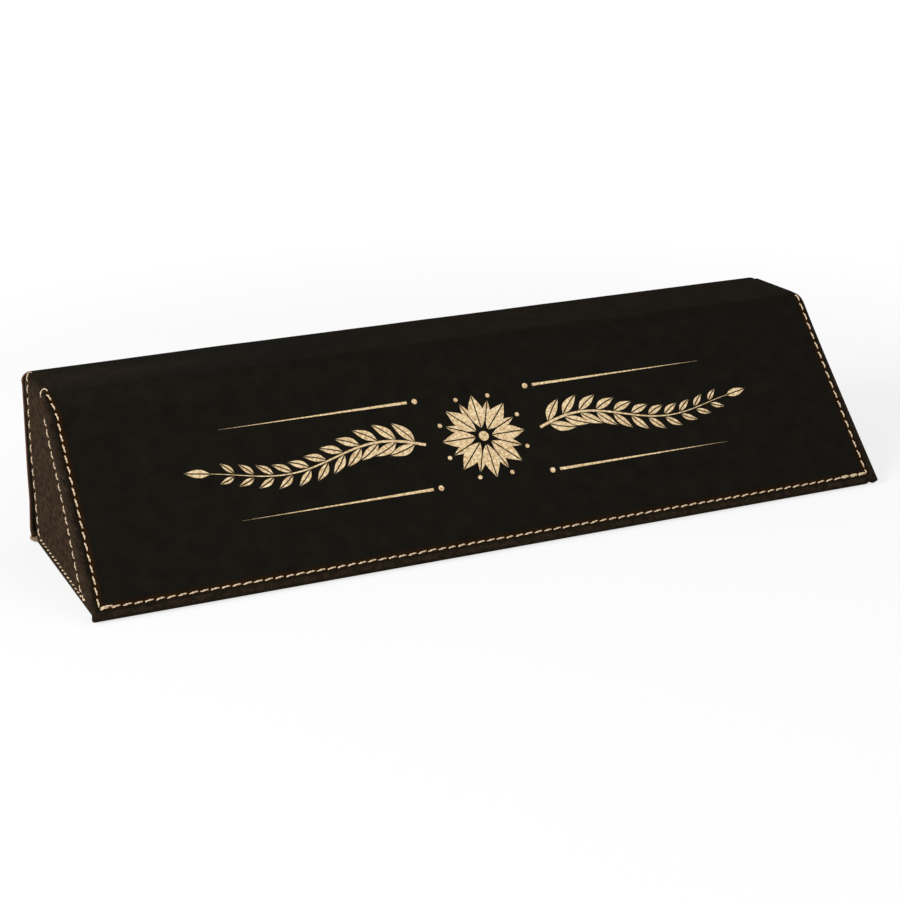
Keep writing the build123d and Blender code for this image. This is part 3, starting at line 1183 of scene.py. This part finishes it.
panel_sides, base_sides = set_in(sides(HALF), RIM), set_in(sides(BASE_HALF), RIM)
flap_sides = set_in((flap_front, flap_rear), RIM / math.sin(SLOPE))
flap_range = (FLAP_SLOPE_START, FLAP_END - RIM)
liner("front", on_belt, (RIM, FRONT_END), panel_sides, FRONT_SEAM.sink)
liner("top", on_belt, (TOP_START, TOP_END), sides(FLAP_X - FOLD), level)
liner("back", on_belt, (BACK_START, BACK_END), panel_sides, BACK_SEAM.sink)
liner("base", on_belt, (BASE_START, BASE_END), base_sides, BASE_SEAM.sink)
liner("tab", on_belt, (TAB_START, TAB_END - RIM), base_sides, TAB_SEAM.sink)
for label, side in SIDES.items():
    liner(label + "_flap", on_flap(side), flap_range, flap_sides, FLAP_SEAMS[label].sink)
for label, side in SIDES.items():
    flap_core(label + "_flap", on_flap(side))


# Thread of each seam
def inner_side(u, s):
    return np.full(np.shape(u), -PANEL)


def above(relief):
    return lambda u, s: -relief(u, s)


def sewn(body, place, seam, surface, extra=(), through=None, weight=1.0):
    piece = thread(body + "_thread", place, seam, surface, extra, through, weight)
    return dress(piece, THREAD, "thread", body + "_stitching")


def back_tack(start, end, offset):
    """Stitches sewn over a seam's own ones, half a pitch along and a little to one side."""
    count = max(1, int(abs(end - start) / PITCH))
    reach = (end - start) / count
    tacks = []
    for number in range(count):
        first = start + (number + 0.1) * reach
        last = first + 0.85 * reach
        tacks.append(
            [
                (first, front_low + offset, -DIP),
                (first + 0.15 * reach, front_low + offset, CREST),
                ((first + last) / 2, front_low + 1.3 * offset, 1.2 * CREST),
                (last - 0.15 * reach, front_low + offset, CREST),
                (last, front_low + offset, -DIP),
            ]
        )
    return tacks


flap_tail = [
    (FLAP_REAR - 3.6 * MM, FLAP_START + 0.6 * MM, -DIP),
    (FLAP_REAR - 3.5 * MM, FLAP_START + 0.3 * MM, 0.0),
    (FLAP_REAR - 2.9 * MM, FLAP_START - 0.4 * MM, 0.3 * CREST),
    (FLAP_REAR - 1.7 * MM, FLAP_BEND + 0.8 * MM, 0.3 * CREST),
    (FLAP_REAR - 0.3 * MM, FLAP_BEND + 0.2 * MM, CREST),
    (FLAP_REAR, FLAP_BEND - 0.5 * MM, 1.3 * CREST),
    (FLAP_REAR - 0.2 * MM, FLAP_BEND - 1.0 * MM, -DIP),
]
flap_hook = [
    (FLAP_FRONT + 0.95 * MM, FLAP_START + 1.1 * MM, -DIP),
    (FLAP_FRONT + 0.95 * MM, FLAP_START + 0.8 * MM, 0.0),
    (FLAP_FRONT + 0.9 * MM, FLAP_START - 0.2 * MM, CREST),
    (FLAP_FRONT + 1.1 * MM, FLAP_BEND + 0.9 * MM, 1.7 * CREST),
    (FLAP_FRONT + 1.3 * MM, FLAP_BEND + 0.2 * MM, 2 * CREST),
    (FLAP_FRONT + 0.6 * MM, FLAP_BEND - 0.2 * MM, 1.2 * CREST),
    (FLAP_FRONT - 0.4 * MM, FLAP_BEND - 0.2 * MM, 0.0),
    (FLAP_FRONT - 0.5 * MM, FLAP_BEND - 0.2 * MM, -DIP),
]
corner_stitch = [
    (front_right - 0.4 * MM, right_low + 0.1 * MM, -DIP),
    (front_right - 0.15 * MM, right_low + 0.35 * MM, CREST),
    (front_right, right_low + 0.9 * MM, CREST),
    (front_right - 0.05 * MM, right_low + 1.6 * MM, -DIP),
]
front_extra = [corner_stitch]
front_extra += back_tack(front_left, front_left + 4.4 * MM, 0.3 * MM)
front_extra += back_tack(front_right, front_right - 10 * MM, 0.15 * MM)
flap_extra = {"left": [flap_tail, flap_hook], "right": []}

front_thread = sewn(
    "front", on_belt, FRONT_SEAM, above(front_relief), front_extra, (0.0, FRONT_END), FRONT_THREAD
)
over_fold(front_thread, *FRONT_FOLD)
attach(sewn("back", on_belt, BACK_SEAM, above(back_relief), through=(BACK_START, BACK_END)), "back")
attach(sewn("base", on_belt, BASE_SEAM, inner_side), "base")
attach(sewn("tab", on_belt, TAB_SEAM, inner_side), "tab")
for label, side in SIDES.items():
    seam, through = FLAP_SEAMS[label], (FLAP_SLOPE_START, FLAP_END)
    flap_thread = sewn(
        label + "_flap", on_flap(side), seam, above(seam.sink), flap_extra[label], through, FLAP_THREAD
    )
    over_flap_fold(flap_thread, label)

# Gold ornament of the front, drawn in millimetres: a rosette between two leafy sprays, with tapering rules
ORNAMENT_RISE = 0.05 * MM
ORNAMENT_BEVEL = 0.07 * MM
ORNAMENT_SINK = 0.06 * MM
ORNAMENT_CENTRE = 0.52 * FACE
PETALS = 8
SPRAY_START, SPRAY_RUN, SPRAY_SWAY = 20, 70, 3.6
SPRAY_LEAVES = 11
RULE_START, RULE_RUN, RULE_HEIGHT = 22, 62, 15.0


def leaf(root, heading, length, width, curl=0.0, parted=0.16):
    """The two halves of a pointed leaf, parted along its midrib, as outlines."""
    t = np.linspace(0.0, 1.0, 15)
    ahead, across = towards(heading), towards(heading + QUARTER)
    rib = root + length * (t[:, None] * ahead + curl * (t * t)[:, None] * across)
    swell = width / 2 * np.sin(math.pi * t**0.85)
    halves = []
    for side in (-1, 1):
        outer = rib + side * np.maximum(swell, parted)[:, None] * across
        inner = rib + side * parted * across
        outline = np.concatenate([outer, inner[-2:0:-1]])
        halves.append(outline if side < 0 else outline[::-1])
    return halves


def ribbon(line, widths):
    """A line with a width at each point, as one outline."""
    heading = unit(np.gradient(line, axis=0))
    across = np.stack([-heading[:, 1], heading[:, 0]], -1) * (np.asarray(widths) / 2)[:, None]
    return [np.concatenate([line - across, (line + across)[::-1]])]


def round_dot(centre, radius):
    angle = np.linspace(0, 2 * math.pi, 24, endpoint=False)
    return [np.asarray(centre) + radius * towards(angle)]


def rosette():
    outlines = round_dot((0, 0), 1.7)
    for number in range(PETALS):
        angle = number * 2 * math.pi / PETALS
        between = angle + math.pi / PETALS
        outlines += leaf(2.9 * towards(angle), angle, 11.4, 5.4)
        outlines += leaf(6.6 * towards(between), between, 6.2, 2.4)
        outlines += round_dot(14.6 * towards(between), 0.75)
    return outlines


def spray(side):
    """A stem that sways outward from the rosette, with leaves on both sides that grow smaller."""
    t = np.linspace(0, 1, 60)
    sway = SPRAY_SWAY * np.sin(2.2 * math.pi * t) * (1 - 0.4 * t)
    stem = np.stack([side * (SPRAY_START + SPRAY_RUN * t), sway], -1)
    outlines = ribbon(stem, 1.0 - 0.75 * t)
    headings = np.gradient(stem, axis=0)
    for number in range(SPRAY_LEAVES):
        at = 3 + 5 * number
        size = 1.0 - 0.045 * number
        along = math.atan2(headings[at, 1], headings[at, 0])
        for turn in (-1, 1):
            root = stem[at] + 0.55 * turn * towards(along + QUARTER)
            lean = along + turn * math.radians(42)
            outlines += leaf(root, lean, 9.2 * size, 3.5 * size, -0.16 * turn)
    outlines += leaf(stem[-1], math.atan2(headings[-1, 1], headings[-1, 0]), 8.0, 2.8)
    return outlines


def rules(side):
    """Thin tapering rules above and below a spray, each with a dot at its thick end."""
    outlines = []
    t = np.linspace(0, 1, 30)
    for height in (-RULE_HEIGHT, RULE_HEIGHT):
        line = np.stack([side * (RULE_START + RULE_RUN * t), np.full(len(t), height)], -1)
        outlines += ribbon(line, 0.9 * (1 - t) + 0.12)
        outlines += round_dot((side * 19.4, height), 0.95)
    return outlines


def bevelled(outline):
    """Points drawn in from an outline by the bevel, along the bisector of each corner."""
    ahead = unit(np.roll(outline, -1, 0) - outline)
    normal = np.stack([-ahead[:, 1], ahead[:, 0]], -1)
    return outline + ORNAMENT_BEVEL * unit(normal + np.roll(normal, 1, 0), 0.5)


def ornament(name):
    """Each outline as a thin patch with a bevelled edge, sunk a little into the front."""
    points, faces = [], []
    outlines = rosette()
    for side in (-1, 1):
        outlines += spray(side) + rules(side)
    for outline in outlines:
        outline = np.asarray(outline) * MM
        x, y = outline.T
        if np.sum(x * np.roll(y, -1) - y * np.roll(x, -1)) < 0:
            outline = outline[::-1]
        lower = sum(map(len, points)) + np.arange(len(outline))
        upper = lower + len(outline)
        for edge, height in ((outline, -ORNAMENT_SINK), (bevelled(outline), ORNAMENT_RISE)):
            u, s = edge[:, 0], ORNAMENT_CENTRE + edge[:, 1]
            points.append(np.stack([u, s, height - front_relief(u, s)], -1))
        faces += band(lower, upper) + [upper, lower[::-1]]
    piece = new_piece(name, on_belt(*np.concatenate(points).T), faces)
    dress(piece, GOLD, "leatherette")
    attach(piece, "front")


ornament("front_ornament")

# Stage, camera and light
AZIMUTH, ELEVATION, ROLL = math.radians(-24.83), math.radians(19.08), math.radians(-0.28)
DISTANCE = 645.2 * MM
TARGET = Vector((-5.51 * MM, 0, 21.54 * MM))
SENSOR = 36
FOCAL_SHARE = 2010.1 / 900  # focal length beside the picture's width
FLOOR_REACH = 6.0
GLOW = (0.25, 0.8, 0.74, 1.0)  # from and to which distance the floor's own light grows, and how strong it is
FLOOR_SHADE = (0.29, 0.29, 0.29, 1)
AMBIENT = 0.42


def camera_at_photo():
    """The photograph's viewpoint, read from the plate's corners in it."""
    camera = linked("camera", bpy.data.cameras.new("camera"))
    camera.data.sensor_width = SENSOR
    camera.data.lens = SENSOR * FOCAL_SHARE
    camera.data.clip_start = 0.01
    camera.data.clip_end = 50
    turn = Matrix.Identity(4)
    for angle, axis in ((AZIMUTH, "Z"), (QUARTER - ELEVATION, "X"), (ROLL, "Z")):
        turn = turn @ Matrix.Rotation(angle, 4, axis)
    camera.matrix_world = Matrix.Translation(TARGET) @ turn @ Matrix.Translation((0, 0, DISTANCE))
    bpy.context.scene.camera = camera


def floor():
    """A wide pale floor that the camera sees as white and that keeps the plate's shadow."""
    corners = [(FLOOR_REACH * x, FLOOR_REACH * y, 0) for x, y in ((-1, -1), (1, -1), (1, 1), (-1, 1))]
    piece = new_piece("floor", corners, [range(4)])
    material, tree, shader = new_material("floor_paint")
    paint = mixed(tree, noise(tree, in_place(tree), 3.0), (0.78, 0.78, 0.78, 1), (0.82, 0.82, 0.82, 1))
    put(tree, shader.inputs["Base Color"], paint)
    shader.inputs["Roughness"].default_value = 0.9
    shader.inputs["Specular IOR Level"].default_value = 0.0
    away = add(tree, "VectorMath", _0=in_place(tree))
    away.operation = "LENGTH"
    strength = ranged(tree, away.outputs["Value"], *GLOW)
    glow = add(tree, "Emission", Color=(1, 1, 1, 1), Strength=strength)
    matt = add(tree, "BsdfDiffuse", Color=FLOOR_SHADE)
    lit = add(tree, "AddShader", _0=glow.outputs[0], _1=matt.outputs[0])
    chosen = add(tree, "MixShader", _0=seen_directly(tree), _1=shader.outputs[0], _2=lit.outputs[0])
    put(tree, tree.nodes["Material Output"].inputs["Surface"], chosen.outputs[0])
    piece.data.materials.append(material)


def seen_directly(tree):
    """1 for what the camera sees, straight or in a reflection or through glass."""
    rays = tree.nodes.new("ShaderNodeLightPath").outputs
    seen = calculated(tree, "MAXIMUM", rays["Is Camera Ray"], rays["Is Glossy Ray"])
    return calculated(tree, "MAXIMUM", seen, rays["Is Transmission Ray"])


def world():
    """White to the eye, a soft even light to everything else."""
    scene_world = bpy.data.worlds.new("studio")
    bpy.context.scene.world = scene_world
    scene_world.use_nodes = True
    tree = scene_world.node_tree
    shader = tree.nodes["Background"]
    shader.inputs["Color"].default_value = (1, 1, 1, 1)
    put(tree, shader.inputs["Strength"], ranged(tree, seen_directly(tree), 0, 1, AMBIENT, 1.0))


def lamp(name, place, size, watts):
    """A round soft lamp that points at the middle of the plate."""
    data = bpy.data.lights.new(name, "AREA")
    data.shape = "DISK"
    data.size = size
    data.energy = watts
    piece = linked(name, data)
    piece.location = place
    piece.rotation_mode = "QUATERNION"
    piece.rotation_quaternion = (Vector(place) - Vector((0, 0, TOP_Z / 2))).to_track_quat("Z", "Y")


camera_at_photo()
floor()
world()
lamp("key", (-1.25, -0.45, 0.75), 0.7, 16)
lamp("fill", (0.8, -1.3, 1.0), 1.0, 4.5)
bpy.context.scene.view_settings.view_transform = "Standard"
